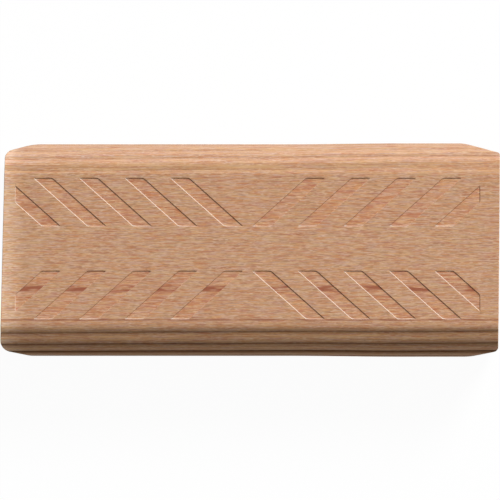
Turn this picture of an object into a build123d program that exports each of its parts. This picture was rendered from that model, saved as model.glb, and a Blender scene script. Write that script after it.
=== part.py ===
from build123d import *
from math import cos, radians, sin, tan
import os

# Loose tenon, one piece of beech lying on a broad face. Sizes in millimetres, angles in degrees.
# X runs along the grain, Y across the width and Z through the thickness, from the face it lies on.

# Body
length = 50.0
width = 21.4
thickness = 8.0

# Long edges: a round scored with lengthwise valleys, so that the reeds between them step down
# and outwards like stairs
edge_round = 4.2  # a little over half the thickness, so the broad faces cut into the round
valley_angles = (24.2, 43.2, 60.6, 80.3)  # round the edge from the broad face, alike below
valley_depth = 0.08  # below the round
shoulder_run = 0.68  # across which the broad face rolls over into the first valley
shoulder_drop = 0.2
tread_length = 0.4  # straight start of the first reed
reed_start_tilts = (8.0, 18.0, 54.0)  # of each reed where it leaves its valley, from the broad face

# Sawn ends, each a little out of square: the left one stands out at the front, the right at the back
left_cut_angle = 1.4
right_cut_angle = 0.5
end_round = 0.1  # eased edge between a broad face and a sawn end

# Lead-in chamfers that narrow the width towards both ends, with the radius that blends each into
# the long edge and the one that rounds it into the sawn end
front_chamfer_angle = 11.7
back_chamfer_angle = 15.4
front_left_chamfer_length = 3.0
front_right_chamfer_length = 2.8
back_left_chamfer_length = 2.8
back_right_chamfer_length = 3.55
front_left_blend, front_left_round = 3.0, 1.15
front_right_blend, front_right_round = 7.0, 0.5
back_right_blend, back_right_round = 4.0, 0.3
back_left_blend, back_left_round = 7.0, 0.95

# Glue pockets pressed into both broad faces: slanted bars in four mirror-image groups
pocket_count = 5  # in one group
pocket_width = 1.94  # along the length
pocket_pitch = 4.56
pocket_slant = 41.8  # from the length direction
pocket_depth = 0.08
pocket_draft = 36.0  # of the pocket walls from vertical
first_pocket_gap = 0.41  # from the middle of the pattern to the first pocket
band_half_width = 2.218  # plain band along the middle of the face
pocket_rows_half_width = 7.07  # from the middle of the pattern to the pockets' outer ends
pattern_half_length = 23.26  # a straight line here cuts off the last pocket of each group
pattern_shift_x = -0.24  # the pattern is pressed slightly off the middle of the face
pattern_shift_y = 0.15

edge_centre = width / 2 - edge_round


def valley_point(angle):
    """The bottom of a valley, given its angle round the edge from the broad face."""
    radius = edge_round - valley_depth
    return (edge_centre + radius * sin(radians(angle)), radius * cos(radians(angle)))


def slope_down(tilt):
    """The direction outwards that drops below the broad face by the tilt."""
    return (cos(radians(tilt)), -sin(radians(tilt)))


# The shoulder ends in the first valley, and the first reed starts there with a straight tread
first_valley_y = valley_point(valley_angles[0])[0]
first_valley = (first_valley_y, thickness / 2 - shoulder_drop)
other_valleys = [valley_point(angle) for angle in valley_angles[1:]]
tread_y, tread_z = slope_down(reed_start_tilts[0])
tread_end = (first_valley[0] + tread_length * tread_y, first_valley[1] + tread_length * tread_z)

# Plan outline: where each chamfer starts on the long edge and where it meets the sawn end
front_y = -width / 2
back_y = width / 2
front_left_corner_y = front_y + front_left_chamfer_length * tan(radians(front_chamfer_angle))
front_right_corner_y = front_y + front_right_chamfer_length * tan(radians(front_chamfer_angle))
back_left_corner_y = back_y - back_left_chamfer_length * tan(radians(back_chamfer_angle))
back_right_corner_y = back_y - back_right_chamfer_length * tan(radians(back_chamfer_angle))
left_cut_run = (back_left_corner_y - front_left_corner_y) * tan(radians(left_cut_angle))
right_cut_run = (back_right_corner_y - front_right_corner_y) * tan(radians(right_cut_angle))

# Each point of the outline with the radius it is rounded by
outline = [
    ((-length / 2 + front_left_chamfer_length, front_y), front_left_blend),
    ((length / 2 - front_right_chamfer_length, front_y), front_right_blend),
    ((length / 2 - right_cut_run, front_right_corner_y), front_right_round),
    ((length / 2, back_right_corner_y), back_right_round),
    ((length / 2 - back_right_chamfer_length, back_y), back_right_blend),
    ((-length / 2 + left_cut_run + back_left_chamfer_length, back_y), back_left_blend),
    ((-length / 2 + left_cut_run, back_left_corner_y), back_left_round),
    ((-length / 2, front_left_corner_y), front_left_round),
]
outline_points = [point for point, rounding in outline]
outline_rounds = [rounding for point, rounding in outline]

# One pocket's outline leans away from the middle of the length as it leaves the plain band
pocket_height = pocket_rows_half_width - band_half_width
pocket_lean = pocket_height / tan(radians(pocket_slant))

section_plane = Plane(origin=(-length / 2, 0, thickness / 2), x_dir=(0, 1, 0), z_dir=(1, 0, 0))
top_face_plane = Plane(origin=(pattern_shift_x, pattern_shift_y, thickness))
bottom_face_plane = Plane(origin=(pattern_shift_x, pattern_shift_y, 0), z_dir=(0, 0, -1))

with BuildPart() as tenon:
    # Bar with reeded edges, as it leaves the moulder: one quarter of the section, mirrored
    with BuildSketch(section_plane):
        with BuildLine():
            broad = Line((0, thickness / 2), (first_valley_y - shoulder_run, thickness / 2))
            TangentArc(broad @ 1, first_valley, tangent=broad % 1)
            tread = Line(first_valley, tread_end)
            TangentArc(tread @ 1, other_valleys[0], tangent=tread % 1)
            TangentArc(other_valleys[0], other_valleys[1], tangent=slope_down(reed_start_tilts[1]))
            TangentArc(other_valleys[1], other_valleys[2], tangent=slope_down(reed_start_tilts[2]))
            mirror(about=Plane.XZ)
            # The middle reed spans the middle of the thickness
            valley_y, valley_z = other_valleys[2]
            ThreePointArc((valley_y, valley_z), (width / 2, 0), (valley_y, -valley_z))
            mirror(about=Plane.YZ)
        make_face()
    extrude(amount=length)

    # Cut to length with chamfered corners
    with BuildSketch(Plane.XY):
        with BuildLine():
            FilletPolyline(*outline_points, radius=outline_rounds, close=True)
        make_face()
    extrude(amount=thickness, mode=Mode.INTERSECT)

    # Ease the edges between the broad faces and the sawn ends
    end_faces = tenon.faces().filter_by(GeomType.PLANE).sort_by(Axis.X)
    sawn_ends = [end_faces[0], end_faces[-1]]
    broad_end_edges = [
        edge
        for face in sawn_ends
        for edge in face.edges().filter_by(GeomType.LINE)
        if edge.length > thickness
    ]
    fillet(broad_end_edges, radius=end_round)

    # Press the glue pockets into both broad faces
    for face_plane in (top_face_plane, bottom_face_plane):
        with BuildSketch(face_plane):
            for index in range(pocket_count):
                start = first_pocket_gap + index * pocket_pitch
                Polygon(
                    (start, band_half_width),
                    (start + pocket_width, band_half_width),
                    (start + pocket_width + pocket_lean, pocket_rows_half_width),
                    (start + pocket_lean, pocket_rows_half_width),
                )
            Rectangle(
                pattern_half_length,
                pocket_rows_half_width,
                align=(Align.MIN, Align.MIN),
                mode=Mode.INTERSECT,
            )
            mirror(about=Plane.YZ)
            mirror(about=Plane.XZ)
        extrude(amount=-pocket_depth, taper=pocket_draft, mode=Mode.SUBTRACT)

tenon.part.label = "tenon"
os.makedirs("parts", exist_ok=True)
export_step(tenon.part, "parts/tenon.step")
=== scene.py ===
import bpy
import numpy as np
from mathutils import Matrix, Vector


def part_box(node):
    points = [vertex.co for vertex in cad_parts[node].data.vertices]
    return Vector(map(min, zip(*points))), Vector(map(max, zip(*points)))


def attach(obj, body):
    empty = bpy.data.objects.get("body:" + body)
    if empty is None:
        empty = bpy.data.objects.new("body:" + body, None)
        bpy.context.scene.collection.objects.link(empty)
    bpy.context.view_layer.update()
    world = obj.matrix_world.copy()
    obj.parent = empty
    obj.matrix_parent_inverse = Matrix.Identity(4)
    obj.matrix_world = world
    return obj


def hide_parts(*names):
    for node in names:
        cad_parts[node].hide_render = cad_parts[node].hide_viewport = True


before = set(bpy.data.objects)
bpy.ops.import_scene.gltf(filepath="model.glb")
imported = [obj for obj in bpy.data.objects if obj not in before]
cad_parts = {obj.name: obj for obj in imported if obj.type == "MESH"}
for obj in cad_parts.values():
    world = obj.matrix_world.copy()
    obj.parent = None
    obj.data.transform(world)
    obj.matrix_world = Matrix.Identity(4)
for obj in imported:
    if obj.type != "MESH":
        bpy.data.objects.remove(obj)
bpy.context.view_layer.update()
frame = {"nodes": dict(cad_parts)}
print("frame loaded:", ", ".join(frame["nodes"]))

mm = 0.001  # every size below is in millimetres
lowCorner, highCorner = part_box("tenon")


def toLinear(hexColour):
    # sRGB hex to linear RGBA
    srgb = np.array([int(hexColour[i : i + 2], 16) for i in (1, 3, 5)]) / 255
    linear = np.where(srgb <= 0.04045, srgb / 12.92, ((srgb + 0.055) / 1.055) ** 2.4)
    return (*[float(c) for c in linear], 1.0)


def addNode(tree, kind, inputs=None, **settings):
    # adds a node, sets its properties, and fills or links its inputs by name or number
    node = tree.nodes.new(kind)
    for name, value in settings.items():
        setattr(node, name, value)
    for key, value in (inputs or {}).items():
        if isinstance(value, bpy.types.NodeSocket):
            tree.links.new(value, node.inputs[key])
        else:
            node.inputs[key].default_value = value
    return node


body = {
    "length": (highCorner.x - lowCorner.x) / mm,
    "width": (highCorner.y - lowCorner.y) / mm,
    "thickness": (highCorner.z - lowCorner.z) / mm,
    "edgeRadius": 4.2,  # a little over half the thickness, so the broad faces cut the round
    "reedTwist": 4.2,  # degrees that the reeds turn round the edge from end to end
    "reedWander": 0.8,  # degrees that they waver on the way, over the pitch below
    "wanderPitch": 9,
    "sheenFrom": (8.6, 9.1),  # across which a painted sheen comes in on the back edge
    "leftNarrower": 0.09,  # on each side, and where the change begins and ends along the length
    "widening": (4, 15),
    "endRound": 0.06,  # radius between the long sides and the sawn ends
}

# Each reeded edge from the broad face to the middle of the thickness:
# valleys: (y, z) from the middle of the section
# shoulder: the run and the power of the fall down to the first valley
# reeds: beyond each valley the straight part, the tilt it starts with in degrees, and the power
# the last two: per valley the painted shade in it and on the reed beyond it, each with its reach
# The front edge gets much more of this painted shade than the back edge, and the back edge's
# outer reeds get a painted sheen.
edges = {
    "back": {
        "valleys": [(8.1, 3.867), (9.24, 3.2), (10.03, 2.15), (10.56, 0.7)],
        "shoulder": (0.61, 2.3),
        "reeds": [(0.36, 6.2, 3.6), (0.2, 13, 3.0), (0.0, 21, 2.4)],
        "valleyShading": [(0.1, 0.08), (0.0, 0.08), (0.1, 0.08), (0.1, 0.08)],
        "treadShading": [(0.05, 0.7), (0.0, 0.7), (0.08, 0.7), (0.08, 0.7)],
    },
    "front": {
        "valleys": [(8.27, 3.66), (9.41, 3.14), (10.13, 2.15), (10.6, 0.7)],
        "shoulder": (1.2, 3.3),
        "reeds": [(0.2, 13, 2.6), (0.0, 18, 2.0), (0.0, 40, 2.0)],
        "valleyShading": [(0.35, 0.08), (1.0, 0.1), (1.0, 0.12), (1.0, 0.1)],
        "treadShading": [(0.57, 0.75), (0.46, 0.7), (1.0, 1.6), (0.46, 0.7)],
    },
}

# how far each sawn end is out of square: its slope dx/dy
endSlope = {"left": np.tan(np.radians(1.4)), "right": np.tan(np.radians(0.5))}

# each corner in plan: chamfer angle and length, blend into the long edge, round at the sawn end
corners = {
    ("left", "front"): {"angle": 11.7, "length": 3.0, "blend": 3.0, "round": 1.15},
    ("right", "front"): {"angle": 11.7, "length": 2.8, "blend": 7.0, "round": 0.5},
    ("left", "back"): {"angle": 15.4, "length": 2.8, "blend": 7.0, "round": 0.95},
    ("right", "back"): {"angle": 15.4, "length": 3.55, "blend": 4.0, "round": 0.3},
}

pockets = {
    "count": 5,  # in each of the four groups
    "width": 1.94,
    "pitch": 4.56,
    "slant": 41.8,  # degrees from the length
    "depth": 0.08,
    "draft": 36.0,  # degrees from vertical
    "firstGap": 0.41,
    "rowsFrom": 2.218,
    "rowsTo": 7.07,
    "halfLength": 23.26,
    "shiftX": -0.24,
    "shiftY": 0.15,
    "rimSoft": 0.2,  # how far the rim and the foot of a wall are rounded, in wall widths
    "cornerSoft": 0.04,  # how softly two walls meet
    "paintedLightAzimuth": 50,  # degrees from the length: walls that face this way get a painted highlight, the others painted shade
}
pockets["inset"] = pockets["depth"] * np.tan(np.radians(pockets["draft"]))
pockets["lean"] = (pockets["rowsTo"] - pockets["rowsFrom"]) / np.tan(np.radians(pockets["slant"]))

grid = {
    "reedCells": 8,
    "crowding": 1.5,  # power that draws a reed's points together where it gets steep
    "shoulderCells": 9,
    "rowGap": 0.05,  # least distance between a shoulder's row and the pattern's
    "pocketRowCells": 32,
    "bandCells": 32,
    "wallSteps": np.array([-0.2, 0.15, 0.5, 0.85, 1.2]),  # across a pocket wall, in wall widths
    "fanCells": 12,
    "floorCells": 5,
    "gapCells": 6,
    "endCells": 8,
    "capRings": 9,
    # how far from a sawn end its last columns stand
    "endLines": np.array([0.8, 0.6, 0.45, 0.32, 0.22, 0.14, 0.08, 0.04, 0.012, 0.0]),
    "pileStep": 0.004,  # between columns that run up against the last pocket's end wall
    "sharpAngle": 20,  # degrees between faces, past which an edge shades sharp
}

# a pattern's two sizes are along the length and round the girth, or across and through a sawn end
relief = {
    "fibre": 0.004,  # height of the raised grain
    "fibreSize": (4.5, 0.28),
    "pocketFibre": 0.010,  # crushed fibres on the pocket floors
    "pocketFibreSize": (2.5, 0.35),
    "valleyShade": (0.7, 0.6),  # least share of a valley's painted shade, and the most that is added
    "valleyShadeSize": (1.8, 0.6),
    "sawn": 0.03,  # depth of the tearing on the sawn ends
    "tearSize": (0.7, 0.5),
    "sawPitch": 1.1,  # of the saw marks, their tilt, and their share of the depth
    "sawTilt": 0.12,
    "sawShare": 0.3,
    "endRagged": 0.02,  # how far the rim of a sawn end wavers
    "raggedStep": 0.45,  # from row to row, in cells of the noise
    "sawnReach": 0.06,  # how far the end's look runs over the rounded edge
    "fibreShift": 40,  # moves the fibres and the tearing to parts of their noise
    "tearShift": 60,
}
seeds = {"rim": 11, "wander": 12, "fibre": 13, "crushed": 14, "shade": 15, "left": 21, "right": 22}


def smoothStep(t):
    t = np.clip(t, 0, 1)
    return t * t * (3 - 2 * t)


def latticeNoise(u, v, seed, octaves=3):
    # smooth noise in 0..1: seeded values on a unit lattice joined by a smoothstep blend,
    # summed over octaves of twice the frequency and half the weight
    rng = np.random.default_rng(seed)
    cells = 512  # of the lattice, after which it repeats
    total, weight, reach = 0.0, 1.0, 0.0
    for octave in range(octaves):
        table = rng.uniform(0, 1, (cells, cells))
        pu, pv = np.broadcast_arrays(u * 2**octave, v * 2**octave)
        iu, iv = np.floor(pu).astype(int), np.floor(pv).astype(int)
        fu, fv = smoothStep(pu - iu), smoothStep(pv - iv)
        iu, iv, ju, jv = iu % cells, iv % cells, (iu + 1) % cells, (iv + 1) % cells
        low = table[iu, iv] * (1 - fu) + table[ju, iv] * fu
        high = table[iu, jv] * (1 - fu) + table[ju, jv] * fu
        total = total + weight * (low * (1 - fv) + high * fv)
        reach += weight
        weight *= 0.5
    return total / reach


def sideNoise(x, girth, size, seed, shift=0):
    # lattice noise on the long sides, from the places along the length and round the girth
    along, around = x / size[0] + shift, np.broadcast_to(girth / size[1], x.shape)
    return latticeNoise(along, around, seed)


def edgeCurve(start, end, tilt, power):
    # Points from start towards end, which is left out: the surface drops by a straight line at the
    # tilt plus a power of the way across, with the points closer together where it gets steep.
    across, drop = end[0] - start[0], start[1] - end[1]
    share = 1 - (1 - np.arange(grid["reedCells"]) / grid["reedCells"]) ** grid["crowding"]
    straight = across * np.tan(np.radians(tilt))
    fall = straight * share + (drop - straight) * share**power
    return np.stack([start[0] + across * share, start[1] - fall], -1)


def edgeSection(edge):
    # One reeded edge between its first valleys above and below the middle, as (y, z).
    valleys = np.array(edge["valleys"])
    curves = []
    for start, end, (straight, tilt, power) in zip(valleys[:-1], valleys[1:], edge["reeds"]):
        nose = start + straight * np.array([np.cos(np.radians(tilt)), -np.sin(np.radians(tilt))])
        curve = edgeCurve(nose, end, tilt, power)
        curves += [start[None, :], curve] if straight else [curve]
    # the middle reed is an arc through the full width, symmetric above and below
    half, sagitta = valleys[-1][1], body["width"] / 2 - valleys[-1][0]
    bend = (half**2 + sagitta**2) / (2 * sagitta)
    angle = np.arcsin(half / bend) * np.linspace(1, 0, grid["reedCells"] // 2 + 1)
    middle = np.stack([body["width"] / 2 - bend + bend * np.cos(angle), bend * np.sin(angle)], -1)
    upper = np.concatenate(curves + [middle])
    return np.concatenate([upper[1:], upper[-2:0:-1] * [1, -1]])


def sectionLoop():
    # The closed cross-section: top face from back to front, front edge, bottom face, back edge.
    # Each broad face is flat and falls away to the first valleys by a power of the way across the
    # shoulder.
    face = body["thickness"] / 2
    outer, inner, inset = pockets["rowsTo"], pockets["rowsFrom"], pockets["inset"]
    wall = inset * grid["wallSteps"]
    pocketRows = np.linspace(outer - wall[-1], inner + wall[-1], grid["pocketRowCells"] + 1)[1:-1]
    bandRows = np.linspace(inner + wall[0], -inner - wall[0], grid["bandCells"] + 1)[1:-1]
    halfRows = np.concatenate([outer - wall, pocketRows, (inner + wall)[::-1]])
    patternRows = np.concatenate([halfRows, bandRows, -halfRows[::-1]]) + pockets["shiftY"]
    shoulders = {}
    for name, edge in edges.items():
        run = edge["shoulder"][0]
        shoulders[name] = edge["valleys"][0][0] - run * np.linspace(0, 1, grid["shoulderCells"] + 1)
    backRows, frontRows = shoulders["back"], -shoulders["front"][::-1]
    backRows = backRows[backRows > patternRows[0] + grid["rowGap"]]
    frontRows = frontRows[frontRows < patternRows[-1] - grid["rowGap"]]
    faceY = np.concatenate([backRows, patternRows, frontRows])
    faceZ = np.full(len(faceY), face)
    for sign, edge in ((1, edges["back"]), (-1, edges["front"])):
        (valleyY, valleyZ), (run, power) = edge["valleys"][0], edge["shoulder"]
        share = np.clip((sign * faceY - valleyY + run) / run, 0, 1)
        faceZ = faceZ - (face - valleyZ) * share**power

    front, back = edgeSection(edges["front"]), edgeSection(edges["back"])[::-1]
    y = np.concatenate([faceY, -front[:, 0], faceY[::-1], back[:, 0]])
    z = np.concatenate([faceZ, front[:, 1], -faceZ[::-1], back[:, 1]])

    # per point: the painted shade from its nearest valley, the painted shade on a reed past a valley,
    # and how far it is from the flat of the broad face to the first valley
    valleyPaintedShade, tread, fromFlat = np.zeros(len(y)), np.zeros(len(y)), np.zeros(len(y))
    for sign, edge in ((1, edges["back"]), (-1, edges["front"])):
        valleys = np.array(edge["valleys"])
        valleyShading, valleyShadingReach = np.transpose(edge["valleyShading"])
        treadShading, treadShadingReach = np.transpose(edge["treadShading"])
        out, up = sign * y[:, None] - valleys[:, 0], np.abs(z)[:, None] - valleys[:, 1]
        away, onSide = np.hypot(out, up), sign * y > 0
        valleyPaintedShade = valleyPaintedShade + onSide * (valleyShading * np.exp(-away / valleyShadingReach)).max(axis=1)
        beyond = np.where(out > -1e-6, 1 - smoothStep(away / treadShadingReach), 0)
        tread = tread + onSide * (treadShading * beyond).max(axis=1)
        run = edge["shoulder"][0]
        fromFlat = fromFlat + np.clip((sign * y - valleys[0, 0] + run) / run, 0, 1)
    return y, z, valleyPaintedShade, tread, fromFlat, len(faceY), len(front), len(back)


section = sectionLoop()
sectionY, sectionZ, sectionValleyShade, sectionTreadShade, fromFlat = section[:5]
faceCount, frontCount, backCount = section[5:]
edgeCentre = body["width"] / 2 - body["edgeRadius"]
print("section rows:", len(sectionY), "of which on one face:", faceCount)


def planHalfWidth(corner, distance):
    # The outline's half-width at a distance from the sawn end: straight long edge, blend arc,
    # chamfer line, then the arc of the corner round down to the sawn end.
    angle = np.radians(corner["angle"])
    straight = body["width"] / 2
    blend, reach, rounding = corner["blend"], corner["length"], corner["round"]
    tangent = blend * np.tan(angle / 2)
    inArc = np.clip(blend**2 - (reach + tangent - distance) ** 2, 0, None)
    edgeArc = straight - blend + np.sqrt(inArc)
    chamfer = straight - (reach - distance) * np.tan(angle)
    cornerTangent = rounding * np.tan((np.pi / 2 - angle) / 2)
    inRound = np.clip(rounding**2 - np.clip(rounding - distance, 0, None) ** 2, 0, None)
    endArc = straight - reach * np.tan(angle) - cornerTangent + np.sqrt(inRound)
    onRound = distance < cornerTangent * np.cos(angle)
    onChamfer = distance < reach - tangent * np.cos(angle)
    onBlend = distance < reach + tangent
    return np.select([onRound, onChamfer, onBlend], [endArc, chamfer, edgeArc], straight)


def endPlane(side, y):
    # x of the sawn end at y, its far corner touching the end of the length
    front, back = (planHalfWidth(corners[side, name], np.array(0.0)) for name in ("front", "back"))
    inside = np.clip(y, -front, back)
    if side == "left":
        return lowCorner.x / mm + (inside + front) * endSlope["left"]
    return highCorner.x / mm + (inside - back) * endSlope["right"]


def pocketShare(x, y):
    # How deep the pressed pattern is at (x, y), 0 on the face to 1 on a pocket's floor: a ramp over
    # the smallest distance to the pocket's five walls, joined softly where two walls meet.
    along, across = np.abs(x - pockets["shiftX"]), np.abs(y - pockets["shiftY"])
    slant = np.radians(pockets["slant"])
    start = pockets["firstGap"] + (across - pockets["rowsFrom"]) / np.tan(slant)
    place = (along - start + (pockets["pitch"] - pockets["width"]) / 2) / pockets["pitch"]
    offset = along - start - np.clip(np.floor(place), 0, pockets["count"] - 1) * pockets["pitch"]
    walls = np.stack(
        [
            across - pockets["rowsFrom"],
            pockets["rowsTo"] - across,
            offset * np.sin(slant),
            (pockets["width"] - offset) * np.sin(slant),
            pockets["halfLength"] - along,
        ]
    )
    nearest, soft = walls.min(axis=0), pockets["cornerSoft"]
    distance = nearest - soft * np.log(np.exp(-(walls - nearest) / soft).sum(axis=0))
    ramp = distance / pockets["inset"] + pockets["rimSoft"]
    return smoothStep(ramp / (1 + 2 * pockets["rimSoft"]))


def columnPlaces(lean, endX):
    # Distances from the pattern's middle of one half's columns, for rows that lean by the given
    # amount and end at endX: fan, then wall, floor and gap columns pocket by pocket, then the land
    # beyond the pattern. Columns of the last pocket pile up in order against its end wall.
    steps = grid["wallSteps"]
    wall = pockets["inset"] / np.sin(np.radians(pockets["slant"])) * steps
    starts = pockets["firstGap"] + pockets["pitch"] * np.arange(pockets["count"])
    offsets = np.concatenate([wall, pockets["width"] - wall[::-1]])
    cells = np.ones((pockets["count"], len(offsets)), int)
    cells[:, len(steps) - 1] = grid["floorCells"]
    cells[:, -1] = grid["gapCells"]
    cells[-1, -1] = grid["endCells"]
    places = (starts[:, None] + offsets[None, :]).reshape(-1, 1) + lean[None, :]
    cells = cells.ravel()

    # the end wall's own lines, then one pile step per cell back from them
    endWall = pockets["halfLength"] - pockets["inset"] * steps[::-1]
    back = np.cumsum(cells[-1 - len(steps) : -1 - len(offsets) : -1]) * grid["pileStep"]
    limits = np.concatenate([(endWall[0] - back)[::-1], endWall])
    places[-len(offsets) :] = np.minimum(places[-len(offsets) :], limits[:, None])

    firstEndLine = endX[None, :] - grid["endLines"][0]
    anchors = np.concatenate([np.zeros((1, len(lean))), places, firstEndLine])
    counts = np.concatenate([[grid["fanCells"]], cells])
    before = np.repeat(np.arange(len(counts)), counts)
    step = np.arange(counts.sum()) - np.repeat(np.cumsum(counts) - counts, counts)
    share = step / counts[before]
    columns = anchors[before] + (anchors[before + 1] - anchors[before]) * share[:, None]
    return np.concatenate([columns, endX[None, :] - grid["endLines"][:, None]])


def tenonSurface():
    # Every point of the skin along the section's rows, as (column, row) arrays in mm: the section
    # carried along the length, reeds turned slowly round the edges, narrowed to the plan outline,
    # rounded off towards the sawn ends and pressed in at the pockets.
    rows = len(sectionY)
    onFace = fromFlat == 0
    edgeShare = smoothStep(fromFlat)
    across = np.abs(sectionY - pockets["shiftY"]) - pockets["rowsFrom"]
    lean = np.clip(across / np.tan(np.radians(pockets["slant"])), 0, pockets["lean"])
    waver = latticeNoise(np.arange(rows) * relief["raggedStep"], np.zeros(rows), seeds["rim"])
    ragged = relief["endRagged"] * waver
    leftEnd = endPlane("left", sectionY) - relief["endRagged"] + ragged
    rightEnd = endPlane("right", sectionY) + relief["endRagged"] - ragged[::-1]
    leftHalf = pockets["shiftX"] - columnPlaces(lean, pockets["shiftX"] - leftEnd)
    rightHalf = pockets["shiftX"] + columnPlaces(lean, rightEnd - pockets["shiftX"])
    x = np.concatenate([leftHalf[::-1], rightHalf[1:]])
    fromLeft, fromRight = x - leftEnd, rightEnd - x
    fromEnd = np.minimum(fromLeft, fromRight)

    # turn the reeded edges about their centres
    centre = np.sign(sectionY) * edgeCentre
    wander = latticeNoise(x / body["wanderPitch"], np.full_like(x, 0.5), seeds["wander"], 2) - 0.5
    turn = body["reedTwist"] * x / body["length"] + body["reedWander"] * wander
    turn = np.radians(turn) * edgeShare
    dy, dz = sectionY - centre, sectionZ
    y = centre + dy * np.cos(turn) + dz * np.sin(turn)
    z = dz * np.cos(turn) - dy * np.sin(turn)

    # inwards: end rounding, pockets and raised grain
    middle = np.clip(y, -edgeCentre, edgeCentre)
    radial = np.hypot(y - middle, z)
    inY, inZ = (y - middle) / radial, z / radial
    rounding = body["endRound"]
    drop = rounding - np.sqrt(rounding**2 - np.clip(rounding - fromEnd, 0, None) ** 2)
    girth = np.concatenate([[0], np.cumsum(np.hypot(np.diff(sectionY), np.diff(sectionZ)))])
    share = np.where(onFace, pocketShare(x, y), 0)
    shift = relief["fibreShift"]
    fibre = sideNoise(x, girth, relief["fibreSize"], seeds["fibre"], shift)
    crushed = sideNoise(x, girth, relief["pocketFibreSize"], seeds["crushed"], shift)
    drop = drop + relief["fibre"] * fibre * (1 - share)
    drop = drop + (pockets["depth"] - relief["pocketFibre"] * crushed) * share
    y, z = y - drop * inY, z - drop * inZ

    # the way a pocket's wall faces the light's side, from how the pattern deepens around each point
    near = pockets["inset"] / 4
    deeperX = pocketShare(x + near, y) - pocketShare(x - near, y)
    deeperY = pocketShare(x, y + near) - pocketShare(x, y - near)
    paintedLightAngle = np.radians(pockets["paintedLightAzimuth"])
    facing = deeperX * np.cos(paintedLightAngle) + deeperY * np.sin(paintedLightAngle)
    facing = facing / np.maximum(np.hypot(deeperX, deeperY), 1e-6)

    # narrow to the plan outline
    for side, distance in (("left", fromLeft), ("right", fromRight)):
        for name, sign in (("front", -1), ("back", 1)):
            limit = planHalfWidth(corners[side, name], distance)
            y = np.where((sign * y > limit) & (distance < body["length"] / 2), sign * limit, y)
    # a painted sheen comes in across the back edge's outer reeds
    low, high = body["sheenFrom"]
    paintedSheen = edgeShare * smoothStep((sectionY - low) / (high - low))
    low, high = body["widening"]
    narrower = body["leftNarrower"] * (1 - smoothStep((x - low) / (high - low)))
    y = y - np.sign(sectionY) * edgeShare * narrower
    # walls that face the light's side get a painted highlight, the others painted shade
    wall = 4 * share * (1 - share)
    least, more = relief["valleyShade"]
    shade = least + more * sideNoise(x, girth, relief["valleyShadeSize"], seeds["shade"])
    looks = {
        "pressed": share,
        "paintedHighlightWall": wall * np.clip(facing, 0, 1),
        "paintedShadeWall": wall * np.clip(-facing, 0, 1),
        # painted shade in and past the valleys, and a painted sheen on the back edge
        "valleyPaintedShade": np.clip(sectionValleyShade * shade, 0, 1),
        "tread": np.broadcast_to(sectionTreadShade, share.shape),
        "reed": np.broadcast_to(edgeShare, share.shape),
        "paintedSheen": np.broadcast_to(paintedSheen, share.shape),
        "sawn": np.clip(1 - fromEnd / relief["sawnReach"], 0, 1),
    }
    return x, y, z, looks


def sawnEnd(x, y, z, seed):
    # The sawn end as rings that shrink from the last column's loop to the line along the middle of
    # the section, torn in a little by the saw.
    shrink = (1 - np.arange(1, grid["capRings"] + 1) / grid["capRings"])[:, None]
    middle = np.clip(y, -edgeCentre, edgeCentre)
    ringY, ringZ = middle + (y - middle) * shrink, z * shrink
    (tearY, tearZ), shift = relief["tearSize"], relief["tearShift"]
    tear = latticeNoise(ringY / tearY + shift, ringZ / tearZ + shift, seed)
    marks = 0.5 + 0.5 * np.sin(2 * np.pi * (ringZ + relief["sawTilt"] * ringY) / relief["sawPitch"])
    depth = relief["sawn"] * ((1 - relief["sawShare"]) * tear + relief["sawShare"] * marks)
    return x + np.zeros_like(ringY) - np.sign(x) * depth, ringY, ringZ


def tenonSkin():
    x, y, z, looks = tenonSurface()
    columns, rows = x.shape
    index = np.arange(columns * rows).reshape(columns, rows)
    points, loops = [np.stack([x, y, z], -1).reshape(-1, 3)], []

    def quads(a, b, c, d):
        loops.append(np.stack([a, b, c, a, c, d], -1).reshape(-1, 3))

    after = np.roll(index, -1, axis=1)
    quads(index[:-1], after[:-1], after[1:], index[1:])

    # rows whose rings shrink to the same point of the middle line share it
    mirrored = np.concatenate([
        np.arange(faceCount),
        np.full(frontCount, faceCount - 1),
        np.arange(faceCount)[::-1],
        np.full(backCount, 0),
    ])
    middleY = np.clip(sectionY[mirrored], -edgeCentre, edgeCentre)
    shared = np.unique(middleY, return_index=True, return_inverse=True)

    count = columns * rows
    for column, seed in ((0, seeds["left"]), (columns - 1, seeds["right"])):
        ring = np.stack(sawnEnd(x[column], y[column], z[column], seed), -1)
        inner = ring[:-1].reshape(-1, 3)
        spine = ring[-1][shared[1]]
        points += [inner, spine]
        ringIndex = np.concatenate([
            index[column][None, :],
            count + np.arange(len(inner)).reshape(-1, rows),
            (count + len(inner) + shared[2])[None, :],
        ])
        after = np.roll(ringIndex, -1, axis=1)
        if column == 0:
            quads(ringIndex[:-1], ringIndex[1:], after[1:], after[:-1])
        else:
            quads(ringIndex[:-1], after[:-1], after[1:], ringIndex[1:])
        count += len(inner) + len(spine)

    points, triangles = np.concatenate(points), np.concatenate(loops)
    first, second, third = triangles.T
    triangles = triangles[(first != second) & (second != third) & (third != first)]
    points[:, 2] += body["thickness"] / 2

    mesh = bpy.data.meshes.new("tenonSkin")
    mesh.from_pydata((points * mm).tolist(), [], triangles.tolist())
    for name, values in looks.items():
        attribute = mesh.attributes.new(name, "FLOAT", "POINT")
        full = np.full(len(points), float(name == "sawn"), np.float32)  # the ends are sawn all over
        full[: values.size] = values.ravel()
        attribute.data.foreach_set("value", full)
    mesh.shade_smooth()
    mesh.set_sharp_from_angle(angle=np.radians(grid["sharpAngle"]))
    skin = bpy.data.objects.new("tenonSkin", mesh)
    bpy.context.scene.collection.objects.link(skin)
    return skin


skin = tenonSkin()
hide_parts("tenon")
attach(skin, "root")
print("skin:", len(skin.data.vertices), "points,", len(skin.data.polygons), "triangles")

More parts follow.
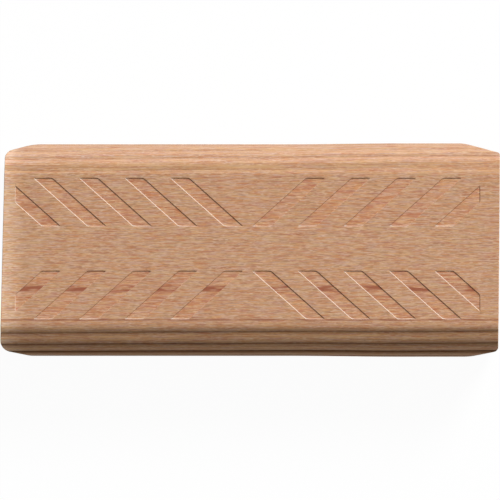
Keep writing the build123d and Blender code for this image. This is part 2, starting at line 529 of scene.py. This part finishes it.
# Steamed beech: an even pinkish tan with fine, straight, lengthwise fibres, short reddish ray
# flecks and faint darker growth lines. Pressing burnishes and reddens it, sawing leaves it paler.
beech = {
    "base": "#C69C75",
    # each layer is noise of a size along x, y and z, mixed in where its value runs from 0 to 1 of
    # the range given; real fibres are about 0.02 wide, drawn coarser to show
    "layers": [
        {"size": (7.0, 0.9, 0.9), "range": (0.42, 0.62), "colour": "#C48C6C", "share": 0.45},
        {"size": (3.5, 0.25, 0.25), "range": (0.50, 0.66), "colour": "#A87C58", "share": 0.3},
        {"size": (2.0, 0.13, 0.13), "range": (0.46, 0.60), "colour": "#CD8852", "share": 0.5},
        {"size": (1.6, 0.13, 0.13), "range": (0.46, 0.60), "colour": "#C8A598", "share": 0.5},
        {"size": (2.4, 0.13, 0.13), "range": (0.52, 0.63), "colour": "#B06448", "share": 0.45},
        {"size": (1.2, 0.11, 0.11), "range": (0.48, 0.38), "colour": "#DCB486", "share": 0.4},
        {"size": (0.7, 0.09, 0.09), "range": (0.52, 0.65), "colour": "#946A50", "share": 0.4},
        {"size": (0.5, 0.09, 0.09), "range": (0.48, 0.35), "colour": "#E2C0A4", "share": 0.4},
    ],
    # where in the noise each pattern lies, so that no two layers look alike
    "patches": {"lineBreaks": 0, "pressed": 0, "layers": 1, "pores": 11, "reedLayers": 12},
    "patchStep": (13.7, 5.3, 9.1),
    # growth lines run along the grain at y, fade out over their reach to either side, and come and
    # go by the share broken
    "lines": [
        {"y": -3.85, "reach": 0.45, "colour": "#9A563E", "share": 0.9, "broken": 0.8, "on": "pressed"},
        {"y": -6.98, "reach": 0.14, "colour": "#8E5038", "share": 0.7, "broken": 0.5, "on": "plain"},
        {"y": -7.25, "reach": 0.5, "colour": "#A06A4C", "share": 0.12, "broken": 0.2, "on": "plain"},
    ],
    "lineBreaks": {"size": (2.6, 0.5, 0.5), "range": (0.40, 0.56), "share": 1.0},
    # flecks are ellipsoids of half sizes given in cells, one in each cell of a jittered lattice,
    # and present in a share of the cells
    "flecks": [
        {"cell": (2.8, 0.5, 4.0), "half": (0.34, 0.13, 0.42), "present": 0.25, "colour": "#A65C40"},
        {"cell": (1.2, 0.3, 0.3), "half": (0.2, 0.2, 0.3), "present": 0.12, "colour": "#E6CDB2"},
    ],
    "fleckShare": 0.55,
    "fleckFade": (1.1, 0.3),  # half sizes from its middle where a fleck begins and is full
    "fleckJitter": 0.9,
    # the last three tints are painted light: sheen on the back edge, shade in and past the valleys
    "tints": {
        "pressed": (1.07, 1.03, 1.01),
        "reed": (0.945, 0.94, 0.93),
        "paintedSheen": (0.97, 1.02, 1.15),
        "valleyPaintedShade": (0.32, 0.28, 0.24),
        "tread": (0.48, 0.43, 0.37),
    },
    # the moulder's cutter drags long streaks along the reeds
    "reedLayers": [
        {"size": (6.0, 0.11, 0.11), "range": (0.50, 0.62), "colour": "#A6744C", "share": 0.45},
        {"size": (8.0, 0.12, 0.12), "range": (0.50, 0.62), "colour": "#DCB07C", "share": 0.4},
    ],
    "pressedLayer": {"size": (1.4, 0.14, 0.3), "range": (0.5, 0.62), "colour": "#A65C40", "share": 0.4},
    # painted highlight and painted shade on the pocket walls, by the way each wall faces
    "paintedHighlightWall": "#CABFB4",
    "paintedShadeWall": "#6A4A32",
    # the sawn ends show the fibres cut across, with pores, and growth rings about the pith
    "sawn": "#DDB48E",
    "sawnShare": 0.6,
    "pores": {"size": (0.3, 0.11, 0.11), "range": (0.56, 0.68), "colour": "#8A5C3E", "share": 0.55},
    "pith": (0, 9, -34),
    "ringPitch": 1.9,
    "ringRange": (0.55, 1.0),  # of the wave, over which the late wood comes in
    "ringWaver": 0.6,
    "rings": "#B9804F",
    "ringShare": 0.5,
    "leftTint": (1.44, 1.64, 1.8),  # the left end is paler
    "leftReach": 2.4,  # as far in as this
    "ior": 1.5,
    "roughness": 0.65,
    "pressedRoughness": 0.35,
    "specular": 0.2,  # down to none where shade is painted on the reeds past the valleys
    "bumpDepth": 0.006,  # of the last layer's fibres
}


def steamedBeech():
    material = bpy.data.materials.new("steamedBeech")
    material.use_nodes = True
    tree = material.node_tree
    tree.nodes.clear()
    place = addNode(tree, "ShaderNodeTexCoord").outputs["Object"]
    looks = {
        name: addNode(tree, "ShaderNodeAttribute", attribute_name=name).outputs["Fac"]
        for name in ("pressed", "paintedHighlightWall", "paintedShadeWall", "valleyPaintedShade", "tread", "reed", "paintedSheen", "sawn")
    }

    def noiseShare(layer, patch):
        # the noise of a layer's size at a patch, and the share that the layer's range makes of it
        scale = tuple(1 / (part * mm) for part in layer["size"])
        apart = tuple(part * patch for part in beech["patchStep"])
        sized = addNode(
            tree, "ShaderNodeMapping", {"Vector": place, "Scale": scale, "Location": apart}
        )
        noise = addNode(
            tree,
            "ShaderNodeTexNoise",
            {"Vector": sized.outputs[0], "Scale": 1.0, "Detail": 1.0, "Roughness": 0.5},
        ).outputs[0]
        low, high = layer["range"]
        share = addNode(
            tree,
            "ShaderNodeMapRange",
            {0: noise, 1: low, 2: high, 4: layer["share"]},
            interpolation_type="SMOOTHSTEP",
        ).outputs[0]
        return noise, share

    def layered(colour, layer, patch, mask=None):
        # mixes one noise layer into a colour, only as far as the mask goes; gives its noise too
        noise, share = noiseShare(layer, patch)
        if mask:
            share = addNode(
                tree, "ShaderNodeMath", {0: share, 1: mask}, operation="MULTIPLY"
            ).outputs[0]
        mixed = addNode(
            tree,
            "ShaderNodeMix",
            {0: share, 6: colour, 7: toLinear(layer["colour"])},
            data_type="RGBA",
        )
        return mixed.outputs[2], noise

    patches = beech["patches"]
    breaks = noiseShare(beech["lineBreaks"], patches["lineBreaks"])[1]
    colour = toLinear(beech["base"])
    for patch, layer in enumerate(beech["layers"], patches["layers"]):
        colour, height = layered(colour, layer, patch)

    for fleck in beech["flecks"]:
        scale = tuple(1 / (part * mm) for part in fleck["cell"])
        inCells = addNode(tree, "ShaderNodeMapping", {"Vector": place, "Scale": scale}).outputs[0]
        cells = addNode(
            tree,
            "ShaderNodeTexVoronoi",
            {"Vector": inCells, "Scale": 1.0, "Randomness": beech["fleckJitter"]},
        )
        offset = addNode(
            tree,
            "ShaderNodeVectorMath",
            {0: inCells, 1: cells.outputs["Position"]},
            operation="SUBTRACT",
        )
        stretch = tuple(1 / part for part in fleck["half"])
        offset = addNode(
            tree, "ShaderNodeVectorMath", {0: offset.outputs[0], 1: stretch}, operation="MULTIPLY"
        )
        reach = addNode(tree, "ShaderNodeVectorMath", {0: offset.outputs[0]}, operation="LENGTH")
        outer, inner = beech["fleckFade"]
        inside = addNode(
            tree,
            "ShaderNodeMapRange",
            {0: reach.outputs["Value"], 1: outer, 2: inner, 4: beech["fleckShare"]},
            interpolation_type="SMOOTHSTEP",
        )
        random = addNode(tree, "ShaderNodeSeparateColor", {0: cells.outputs["Color"]})
        present = addNode(
            tree,
            "ShaderNodeMath",
            {0: random.outputs[0], 1: fleck["present"]},
            operation="LESS_THAN",
        )
        share = addNode(
            tree,
            "ShaderNodeMath",
            {0: inside.outputs[0], 1: present.outputs[0]},
            operation="MULTIPLY",
        )
        mixed = addNode(
            tree,
            "ShaderNodeMix",
            {0: share.outputs[0], 6: colour, 7: toLinear(fleck["colour"])},
            data_type="RGBA",
        )
        colour = mixed.outputs[2]

    ends = addNode(
        tree,
        "ShaderNodeMix",
        {0: beech["sawnShare"], 6: colour, 7: toLinear(beech["sawn"])},
        data_type="RGBA",
    ).outputs[2]
    ends = layered(ends, beech["pores"], patches["pores"])[0]
    toPith = tuple(-part for part in beech["pith"])
    fromPith = addNode(
        tree, "ShaderNodeMapping", {"Vector": place, "Location": toPith, "Scale": (1 / mm,) * 3}
    )
    # the wave repeats every 2 pi / 20 of its own coordinate
    rings = addNode(
        tree,
        "ShaderNodeTexWave",
        {
            "Vector": fromPith.outputs[0],
            "Scale": 2 * np.pi / 20 / beech["ringPitch"],
            "Distortion": beech["ringWaver"],
            "Detail": 1.0,
        },
        wave_type="RINGS",
        rings_direction="X",
    )
    low, high = beech["ringRange"]
    share = addNode(
        tree,
        "ShaderNodeMapRange",
        {0: rings.outputs["Fac"], 1: low, 2: high, 4: beech["ringShare"]},
        interpolation_type="SMOOTHSTEP",
    )
    ends = addNode(
        tree,
        "ShaderNodeMix",
        {0: share.outputs[0], 6: ends, 7: toLinear(beech["rings"])},
        data_type="RGBA",
    ).outputs[2]

    colour = layered(colour, beech["pressedLayer"], patches["pressed"], looks["pressed"])[0]
    for patch, layer in enumerate(beech["reedLayers"], patches["reedLayers"]):
        colour = layered(colour, layer, patch, looks["reed"])[0]
    for name, tint in beech["tints"].items():
        colour = addNode(
            tree,
            "ShaderNodeMix",
            {0: looks[name], 6: colour, 7: (*tint, 1)},
            data_type="RGBA",
            blend_type="MULTIPLY",
        ).outputs[2]

    # growth lines, and paler towards the left end
    xyz = addNode(tree, "ShaderNodeSeparateXYZ", {0: place}).outputs
    unpressed = addNode(tree, "ShaderNodeMath", {0: 1.0, 1: looks["pressed"]}, operation="SUBTRACT")
    where = {"pressed": looks["pressed"], "plain": unpressed.outputs[0]}
    for line in beech["lines"]:
        away = addNode(tree, "ShaderNodeMath", {0: xyz[1], 1: line["y"] * mm}, operation="SUBTRACT")
        away = addNode(tree, "ShaderNodeMath", {0: away.outputs[0]}, operation="ABSOLUTE")
        reach = line["reach"] * mm
        share = addNode(
            tree,
            "ShaderNodeMapRange",
            {0: away.outputs[0], 1: reach, 2: reach / 3, 4: line["share"]},
            interpolation_type="SMOOTHSTEP",
        )
        share = addNode(
            tree,
            "ShaderNodeMath",
            {0: share.outputs[0], 1: where[line["on"]]},
            operation="MULTIPLY",
        )
        unbroken = addNode(tree, "ShaderNodeMapRange", {0: breaks, 3: 1 - line["broken"], 4: 1.0})
        share = addNode(
            tree,
            "ShaderNodeMath",
            {0: share.outputs[0], 1: unbroken.outputs[0]},
            operation="MULTIPLY",
        )
        colour = addNode(
            tree,
            "ShaderNodeMix",
            {0: share.outputs[0], 6: colour, 7: toLinear(line["colour"])},
            data_type="RGBA",
        ).outputs[2]
    share = addNode(
        tree,
        "ShaderNodeMapRange",
        {0: xyz[0], 1: (beech["leftReach"] - body["length"] / 2) * mm, 2: -body["length"] / 2 * mm},
    )
    colour = addNode(
        tree,
        "ShaderNodeMix",
        {0: share.outputs[0], 6: colour, 7: (*beech["leftTint"], 1)},
        data_type="RGBA",
        blend_type="MULTIPLY",
    ).outputs[2]
    # painted highlight and painted shade on the pocket walls
    for name in ("paintedHighlightWall", "paintedShadeWall"):
        colour = addNode(
            tree,
            "ShaderNodeMix",
            {0: looks[name], 6: colour, 7: toLinear(beech[name])},
            data_type="RGBA",
        ).outputs[2]
    colour = addNode(
        tree, "ShaderNodeMix", {0: looks["sawn"], 6: colour, 7: ends}, data_type="RGBA"
    ).outputs[2]

    bump = addNode(
        tree,
        "ShaderNodeBump",
        {"Height": height, "Distance": beech["bumpDepth"] * mm, "Strength": 1.0},
    )
    roughness = addNode(
        tree,
        "ShaderNodeMapRange",
        {0: looks["pressed"], 3: beech["roughness"], 4: beech["pressedRoughness"]},
    )
    specular = addNode(
        tree,
        "ShaderNodeMapRange",
        {0: looks["tread"], 3: beech["specular"], 4: 0.0},
    )
    shader = addNode(
        tree,
        "ShaderNodeBsdfPrincipled",
        {
            "Base Color": colour,
            "Roughness": roughness.outputs[0],
            "Normal": bump.outputs["Normal"],
            "IOR": beech["ior"],
            "Specular IOR Level": specular.outputs[0],
        },
    )
    addNode(tree, "ShaderNodeOutputMaterial", {"Surface": shader.outputs[0]})
    return material


skin.data.materials.append(steamedBeech())
print("material: steamed beech")

view = {
    "imagePixels": 500,
    "pixelsPerMm": 10.0,
    "middlePixel": (250.0, 250.05),  # of the tenon, from the upper left
    "distance": 1500,  # above the upper face
    "sensor": 36,
    "clipEnd": 10000,  # how far the camera sees
}
camera = bpy.data.cameras.new("camera")
camera.sensor_width = view["sensor"]
camera.lens = view["sensor"] * view["distance"] * view["pixelsPerMm"] / view["imagePixels"]
camera.clip_end = view["clipEnd"] * mm
cameraObject = bpy.data.objects.new("camera", camera)
half = view["imagePixels"] / 2
cameraObject.location = (
    (half - view["middlePixel"][0]) / view["pixelsPerMm"] * mm,
    (view["middlePixel"][1] - half) / view["pixelsPerMm"] * mm,
    (body["thickness"] + view["distance"]) * mm,
)
bpy.context.scene.collection.objects.link(cameraObject)
bpy.context.scene.camera = cameraObject

# one soft lamp from the back right, low enough to model the pockets, and white paper all round
studio = {
    "floorSize": 3000,
    "floorAlbedo": 0.62,
    "floorShadowShare": 0.07,  # of the paper that takes light and shadow, while the rest glows
    "floorGlow": 1.03,
    "ambient": 0.3,  # the world's light on the tenon
}
# strength 1 is where a colour that faces the lamp renders as it is written
keyLamp = {"azimuth": 58, "elevation": 30, "distance": 900, "size": 350, "strength": 1.265}
white = (1, 1, 1, 1)


def seenRays(tree):
    # 1 for rays that the eye follows: straight from the camera, by a reflection or through glass
    rays = addNode(tree, "ShaderNodeLightPath").outputs
    seen = rays["Is Camera Ray"]
    for kind in ("Is Glossy Ray", "Is Transmission Ray"):
        seen = addNode(
            tree, "ShaderNodeMath", {0: seen, 1: rays[kind]}, operation="MAXIMUM"
        ).outputs[0]
    return seen


paper = bpy.data.materials.new("whitePaper")
paper.use_nodes = True
paper.node_tree.nodes.clear()
share = addNode(
    paper.node_tree,
    "ShaderNodeMath",
    {0: seenRays(paper.node_tree), 1: 1 - studio["floorShadowShare"]},
    operation="MULTIPLY",
)
albedo = studio["floorAlbedo"]
matt = addNode(paper.node_tree, "ShaderNodeBsdfDiffuse", {"Color": (albedo, albedo, albedo, 1)})
glow = addNode(
    paper.node_tree, "ShaderNodeEmission", {"Color": white, "Strength": studio["floorGlow"]}
)
surface = addNode(
    paper.node_tree,
    "ShaderNodeMixShader",
    {0: share.outputs[0], 1: matt.outputs[0], 2: glow.outputs[0]},
)
addNode(paper.node_tree, "ShaderNodeOutputMaterial", {"Surface": surface.outputs[0]})
side = studio["floorSize"] / 2 * mm
floorCorners = [(-side, -side, 0), (side, -side, 0), (side, side, 0), (-side, side, 0)]
floorMesh = bpy.data.meshes.new("floor")
floorMesh.from_pydata(floorCorners, [], [(0, 1, 2, 3)])
floorMesh.materials.append(paper)
floor = bpy.data.objects.new("floor", floorMesh)
bpy.context.scene.collection.objects.link(floor)

world = bpy.data.worlds.new("studio")
world.use_nodes = True
world.node_tree.nodes.clear()
strength = addNode(
    world.node_tree,
    "ShaderNodeMapRange",
    {0: seenRays(world.node_tree), 3: studio["ambient"], 4: 1.0},
)
background = addNode(
    world.node_tree,
    "ShaderNodeBackground",
    {"Color": white, "Strength": strength.outputs[0]},
)
addNode(world.node_tree, "ShaderNodeOutputWorld", {"Surface": background.outputs[0]})
bpy.context.scene.world = world

light = bpy.data.lights.new("key", "AREA")
light.shape = "DISK"
light.size = keyLamp["size"] * mm
light.energy = keyLamp["strength"] * (np.pi * keyLamp["distance"] * mm) ** 2
azimuth, elevation = np.radians(keyLamp["azimuth"]), np.radians(keyLamp["elevation"])
direction = Vector(
    (np.cos(azimuth) * np.cos(elevation), np.sin(azimuth) * np.cos(elevation), np.sin(elevation))
)
lampObject = bpy.data.objects.new("key", light)
lampObject.location = direction * keyLamp["distance"] * mm
lampObject.rotation_mode = "QUATERNION"
lampObject.rotation_quaternion = direction.to_track_quat("Z", "Y")
bpy.context.scene.collection.objects.link(lampObject)
print("camera, floor and light placed")

bpy.context.scene.view_settings.view_transform = "Standard"
